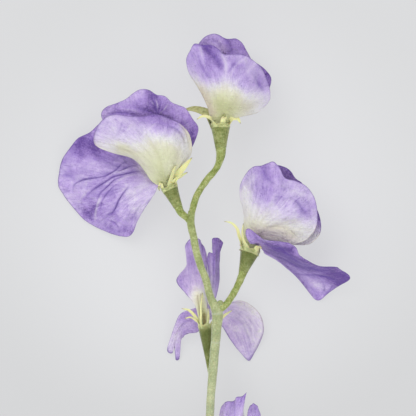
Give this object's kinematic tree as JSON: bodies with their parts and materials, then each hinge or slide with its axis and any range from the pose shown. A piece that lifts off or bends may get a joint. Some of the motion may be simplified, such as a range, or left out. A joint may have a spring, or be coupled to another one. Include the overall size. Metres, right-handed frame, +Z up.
{
  "type": "sweet pea flower",
  "caption": "Cut sweet pea stem lying on its side, with short stalks that carry lavender blossoms, each a green calyx with wings, keel and standard petal.",
  "frame": {"origin": "middle of the box around the whole spray, at the height of the surface it lies on", "axes": "+Z up from the surface, +Y along the stem from its cut end towards the top blossom, +X to the right when seen from above with the top blossom away from the viewer"},
  "size_m": [0.105, 0.2528, 0.0311],
  "materials": {
    "stem_skin": "matte, softly fuzzy green skin with a pale bloom",
    "calyx": "matte fuzzy green cup with pale yellow-green sepals",
    "standard_petal": "soft matte petal with radiating veins and darker violet folds",
    "wing_petal": "soft matte petal, green-cream at the claw, white in the middle and lavender at the rim",
    "keel_petal": "soft matte pale petal"
  },
  "bodies": {
    "root": {"calyx_left": "calyx", "calyx_lowest": "calyx", "calyx_rear": "calyx", "calyx_right": "calyx", "calyx_top": "calyx", "keel_left": "keel_petal", "keel_lowest": "keel_petal", "keel_rear": "keel_petal", "keel_right": "keel_petal", "keel_top": "keel_petal", "pedicel_left": "stem_skin", "pedicel_lowest": "stem_skin", "pedicel_rear": "stem_skin", "pedicel_right": "stem_skin", "pedicel_top": "stem_skin", "standard_left": "standard_petal", "standard_lowest": "standard_petal", "standard_rear": "standard_petal", "standard_right": "standard_petal", "standard_top": "standard_petal", "stem": "stem_skin", "wing_far_left": "wing_petal", "wing_far_lowest": "wing_petal", "wing_far_rear": "wing_petal", "wing_far_right": "wing_petal", "wing_far_top": "wing_petal", "wing_near_left": "wing_petal", "wing_near_lowest": "wing_petal", "wing_near_rear": "wing_petal", "wing_near_right": "wing_petal", "wing_near_top": "wing_petal"}
  },
  "joints": []
}
